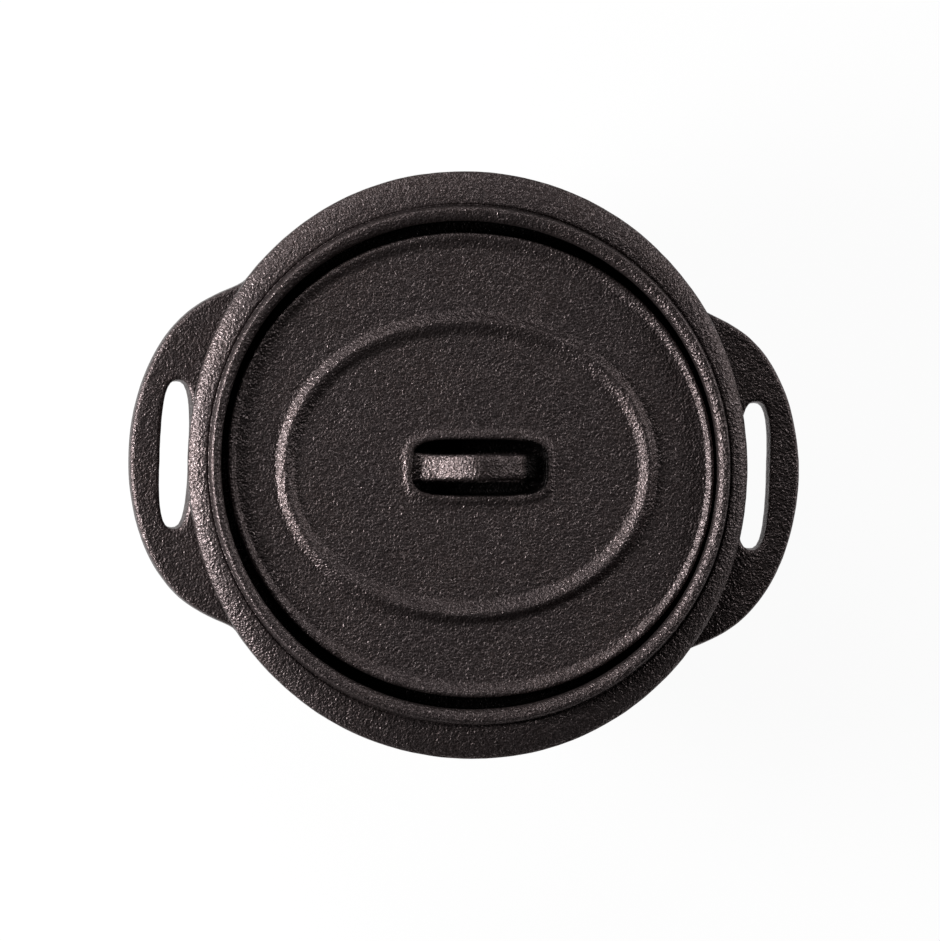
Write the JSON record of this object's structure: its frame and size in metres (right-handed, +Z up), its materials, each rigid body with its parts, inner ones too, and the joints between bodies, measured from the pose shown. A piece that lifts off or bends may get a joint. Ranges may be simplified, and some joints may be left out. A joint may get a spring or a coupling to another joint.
{
  "type": "cast iron casserole",
  "caption": "Oval cast iron casserole pot with slotted side lugs and a loose inset lid with an oval bead and a strap grip over a pocket.",
  "frame": {"origin": "on the table, under the middle of the pot's foot", "axes": "+X through the right lug, +Y towards the back, +Z up out of the pot"},
  "size_m": [0.2034, 0.1758, 0.0639],
  "materials": {
    "pot_iron": "seasoned sand-cast black iron, matt with a slight sheen",
    "lid_iron": "seasoned sand-cast black iron, matt with a slight sheen"
  },
  "bodies": {
    "pot": {"casserole_pot": "pot_iron"},
    "lid": {"lid": "lid_iron"}
  },
  "joints": [
    {"name": "lid_lift", "type": "slide", "parent": "pot", "child": "lid", "axis": [0, 0, 1], "range_m": [0, 0.08]}
  ]
}
